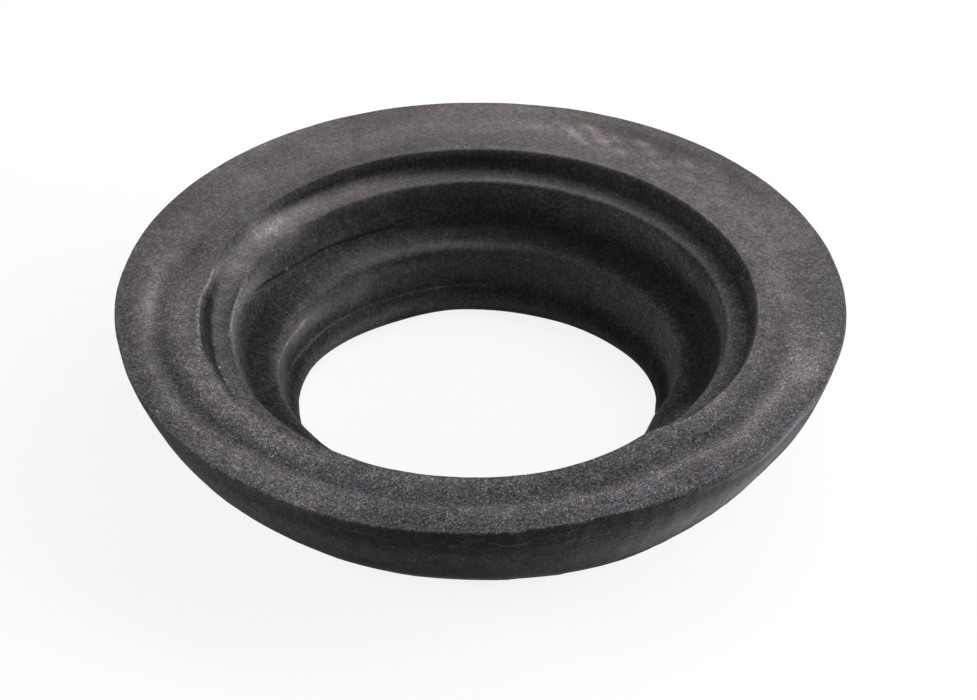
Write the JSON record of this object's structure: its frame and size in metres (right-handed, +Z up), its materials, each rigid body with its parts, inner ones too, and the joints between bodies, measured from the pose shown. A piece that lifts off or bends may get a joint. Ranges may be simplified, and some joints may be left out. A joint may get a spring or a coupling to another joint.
{
  "type": "tank to bowl gasket",
  "caption": "Sponge rubber seal between a toilet's tank and bowl: a bowl-shaped ring with a flat flange, a stepped inside that clears a locknut, and a through bore.",
  "frame": {"origin": "centre of the base, on the plane that the gasket rests on", "axes": "+Z up through the bore towards the flange that meets the tank; X and Y are free about the ring's axis, with -Y towards the picture's camera"},
  "size_m": [0.114, 0.114, 0.0235],
  "materials": {
    "sponge_rubber": "dry matt moulded closed-cell sponge rubber with a fine grain and a pale dusty bloom"
  },
  "bodies": {
    "root": {"gasket_ring": "sponge_rubber"}
  },
  "joints": []
}
